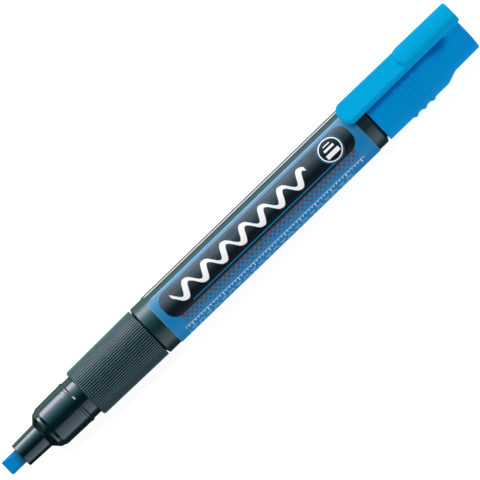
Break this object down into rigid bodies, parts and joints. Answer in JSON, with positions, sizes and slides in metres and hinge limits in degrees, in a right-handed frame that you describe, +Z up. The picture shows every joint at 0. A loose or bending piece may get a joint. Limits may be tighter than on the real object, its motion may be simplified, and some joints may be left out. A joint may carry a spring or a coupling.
{
  "type": "chalk marker",
  "caption": "Wet-erase chalk marker with a chisel nib, ribbed grip, labelled barrel and a clip cap pushed onto its tail.",
  "frame": {"origin": "under the middle of the pen's length, on the surface that its lowest flat rests on", "axes": "+X along the pen from the nib to the cap, +Z up, out of the barrel through the middle of the pocket clip, +Y across the pen"},
  "size_m": [0.15, 0.0148, 0.018],
  "materials": {
    "nib_fibre": "matte, ink-soaked polyester fibre",
    "nose_plastic": "polished green-black moulding",
    "grip_plastic": "satin dark slate green, finely ribbed",
    "barrel_plastic": "satin green-black moulding",
    "label_film": "printed gloss film, blue with a dark chalkboard panel",
    "cap_plastic": "satin cyan blue moulding",
    "clip_plastic": "satin cyan blue moulding, lit from above",
    "seal_plastic": "soft milky polyethylene",
    "valve_plastic": "natural white acetal",
    "packing_rubber": "black moulded rubber",
    "spring_steel": "bright drawn stainless wire",
    "ball_steel": "polished steel ball"
  },
  "bodies": {
    "pen_body": {"nose_cone": "nose_plastic", "grip_sleeve": "grip_plastic", "valve_case": "valve_plastic", "valve_packing": "packing_rubber", "valve_spring": "spring_steel", "valve_retainer": "valve_plastic", "barrel": "barrel_plastic", "label": "label_film", "tail_plug": "barrel_plastic"},
    "writing_tip": {"nib": "nib_fibre", "valve_rod": "valve_plastic"},
    "stirrer": {"mixing_ball": "ball_steel"},
    "cap": {"cap_shell": "cap_plastic", "inner_cap": "seal_plastic"},
    "clip": {"cap_clip": "clip_plastic"}
  },
  "joints": [
    {"name": "tip_press", "type": "slide", "parent": "pen_body", "child": "writing_tip", "axis": [1, 0, 0], "range_m": [0, 0.0015], "stiffness_N_per_m": 100, "springref_m": -0.002, "deforming": ["valve_spring"]},
    {"name": "ball_roll", "type": "slide", "parent": "pen_body", "child": "stirrer", "axis": [1, 0, 0], "range_m": [-0.007, 0.045]},
    {"name": "cap_pull", "type": "slide", "parent": "pen_body", "child": "cap", "axis": [1, 0, 0], "range_m": [0, 0.03]},
    {"name": "clip_flex", "type": "hinge", "parent": "cap", "child": "clip", "pos_m": [0.0722, 0, 0.0139], "axis": [0, 1, 0], "range_deg": [0, 5], "stiffness_Nm_per_rad": 0.05}
  ]
}
